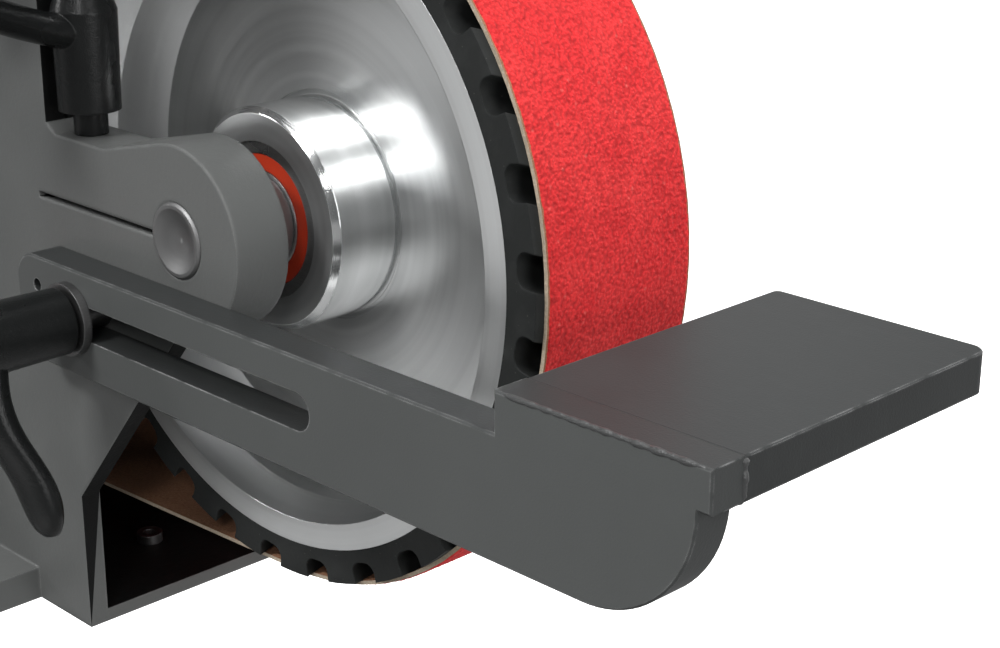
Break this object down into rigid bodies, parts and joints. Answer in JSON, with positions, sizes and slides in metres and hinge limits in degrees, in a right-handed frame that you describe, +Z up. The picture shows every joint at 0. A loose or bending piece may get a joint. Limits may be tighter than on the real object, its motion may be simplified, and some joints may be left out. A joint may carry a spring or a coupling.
{
  "type": "belt grinder",
  "caption": "Pedestal belt grinder: abrasive belt over a serrated contact wheel, flange motor drive, tension roller, clamped tool rest, guarded housing and anchored stand.",
  "frame": {"origin": "centre of the four floor anchor holes, on the floor", "axes": "+X towards the operator and the contact wheel, +Y across the belt away from the motor, +Z up"},
  "size_m": [0.823, 0.42, 1.2897],
  "materials": {
    "grey_paint": "satin",
    "dark_bar": "satin",
    "black_lever": "matt",
    "turned_aluminium": "turned",
    "steel": "ground",
    "wheel_rubber": "matt",
    "seal_rubber": "satin",
    "abrasive_cloth": "coarse grain",
    "motor_cast": "painted",
    "black_plastic": "matt",
    "green_plastic": "gloss",
    "red_plastic": "gloss",
    "grey_plastic": "matt",
    "spring_steel": "drawn wire"
  },
  "bodies": {
    "frame": {"abrasive_belt": "abrasive_cloth", "axle_end_screw": "steel", "axle_sleeve": "steel", "bed_bolts": "steel", "button_bezels": "steel", "cable_glands": "black_plastic", "chute_screws": "steel", "door_posts": "grey_paint", "dust_spigot": "grey_paint", "frame_body": "grey_paint", "guard_pin": "steel", "hinge_brackets": "grey_paint", "hinge_pins": "steel", "motor_body": "motor_cast", "motor_bolts": "steel", "motor_cowl": "motor_cast", "motor_flange": "motor_cast", "panel_screws": "steel", "pivot_bush": "steel", "stand": "grey_paint", "stand_cover": "grey_paint", "switch_box": "grey_plastic", "tension_spring": "spring_steel", "terminal_box": "motor_cast", "terminal_lid": "motor_cast", "wheel_axle": "steel", "wheel_bearing_inner_rings": "steel"},
    "contact_wheel": {"wheel_hub": "turned_aluminium", "wheel_tyre": "wheel_rubber", "wheel_bearing_outer_rings": "steel", "wheel_bearing_seals": "seal_rubber"},
    "drive": {"motor_rotor": "steel", "motor_fan": "black_plastic", "drive_hub": "turned_aluminium", "drive_tyre": "wheel_rubber", "drive_bolt": "steel"},
    "tension_unit": {"tension_arm": "steel", "pivot_shaft": "steel", "tension_handle": "steel", "tension_ball": "black_plastic", "roller_axle": "steel", "roller_bearing_inner_rings": "steel"},
    "roller": {"tension_roller": "turned_aluminium", "roller_bearing_outer_rings": "steel", "roller_bearing_seals": "seal_rubber"},
    "tracking_knob": {"tracking_knob": "black_plastic"},
    "belt_door": {"belt_door": "grey_paint"},
    "door_knob_front": {"door_knob_front": "black_plastic"},
    "door_knob_rear": {"door_knob_rear": "black_plastic"},
    "top_guard": {"top_guard": "grey_paint"},
    "rest_washer": {"rest_washer": "steel"},
    "tool_rest": {"rest_bracket": "dark_bar", "rest_table": "dark_bar"},
    "rest_lever": {"rest_lever": "black_lever", "rest_stud": "steel"},
    "clamp_lever": {"clamp_lever": "black_lever", "clamp_stud": "steel"},
    "start_button": {"start_button": "green_plastic"},
    "stop_button": {"stop_button": "red_plastic"},
    "emergency_button": {"emergency_button": "red_plastic"}
  },
  "joints": [
    {"name": "contact_wheel_spin", "type": "hinge", "parent": "frame", "child": "contact_wheel", "pos_m": [0.38, 0.082, 1.03], "axis": [0, 1, 0], "continuous": true},
    {"name": "drive_spin", "type": "hinge", "parent": "frame", "child": "drive", "pos_m": [-0.02, 0.085, 0.988], "axis": [0, 1, 0], "continuous": true},
    {"name": "tension_swing", "type": "hinge", "parent": "frame", "child": "tension_unit", "pos_m": [0.19, 0.0295, 1.18], "axis": [0, 1, 0], "range_deg": [-12, 0], "stiffness_Nm_per_rad": 25, "springref_deg": 34.38},
    {"name": "roller_spin", "type": "hinge", "parent": "tension_unit", "child": "roller", "pos_m": [0.08, 0.085, 1.2236], "axis": [0, 1, 0], "continuous": true},
    {"name": "tracking_knob_turn", "type": "hinge", "parent": "tension_unit", "child": "tracking_knob", "pos_m": [0.08, 0.0295, 1.2236], "axis": [0, 1, 0], "range_deg": [-360, 360]},
    {"name": "door_swing", "type": "hinge", "parent": "frame", "child": "belt_door", "pos_m": [-0.119, 0.1383, 0.93], "axis": [0, 0, 1], "range_deg": [0, 95]},
    {"name": "door_knob_front_turn", "type": "hinge", "parent": "belt_door", "child": "door_knob_front", "pos_m": [0.22, 0.132, 1.092], "axis": [0, 1, 0], "range_deg": [-720, 0]},
    {"name": "door_knob_rear_turn", "type": "hinge", "parent": "belt_door", "child": "door_knob_rear", "pos_m": [0.07, 0.132, 1.076], "axis": [0, 1, 0], "range_deg": [-720, 0]},
    {"name": "guard_tilt", "type": "hinge", "parent": "frame", "child": "top_guard", "pos_m": [0.318, 0.085, 1.201], "axis": [0, 1, 0], "range_deg": [-75, 0]},
    {"name": "rest_tilt", "type": "hinge", "parent": "frame", "child": "rest_washer", "pos_m": [0.344, 0.0295, 1.003], "axis": [0, 1, 0], "range_deg": [-4, 8]},
    {"name": "rest_slide", "type": "slide", "parent": "rest_washer", "child": "tool_rest", "axis": [1, 0, 0], "range_m": [-0.018, 0.004]},
    {"name": "rest_lever_turn", "type": "hinge", "parent": "frame", "child": "rest_lever", "pos_m": [0.344, 0.0295, 1.003], "axis": [0, 1, 0], "range_deg": [-120, 0]},
    {"name": "clamp_lever_turn", "type": "hinge", "parent": "frame", "child": "clamp_lever", "pos_m": [0.3318, 0.0375, 1.03], "axis": [0, 0, 1], "range_deg": [0, 100]},
    {"name": "start_button_press", "type": "slide", "parent": "frame", "child": "start_button", "axis": [0, 1, 0], "range_m": [0, 0.004], "stiffness_N_per_m": 900, "springref_m": -0.002},
    {"name": "stop_button_press", "type": "slide", "parent": "frame", "child": "stop_button", "axis": [0, 1, 0], "range_m": [0, 0.004], "stiffness_N_per_m": 900, "springref_m": -0.002},
    {"name": "emergency_button_press", "type": "slide", "parent": "frame", "child": "emergency_button", "axis": [0, 1, 0], "range_m": [0, 0.005]}
  ],
  "couplings": [
    {"joint": "contact_wheel_spin", "follows": "drive_spin", "ratio": 0.75},
    {"joint": "roller_spin", "follows": "drive_spin", "ratio": 1.875}
  ]
}
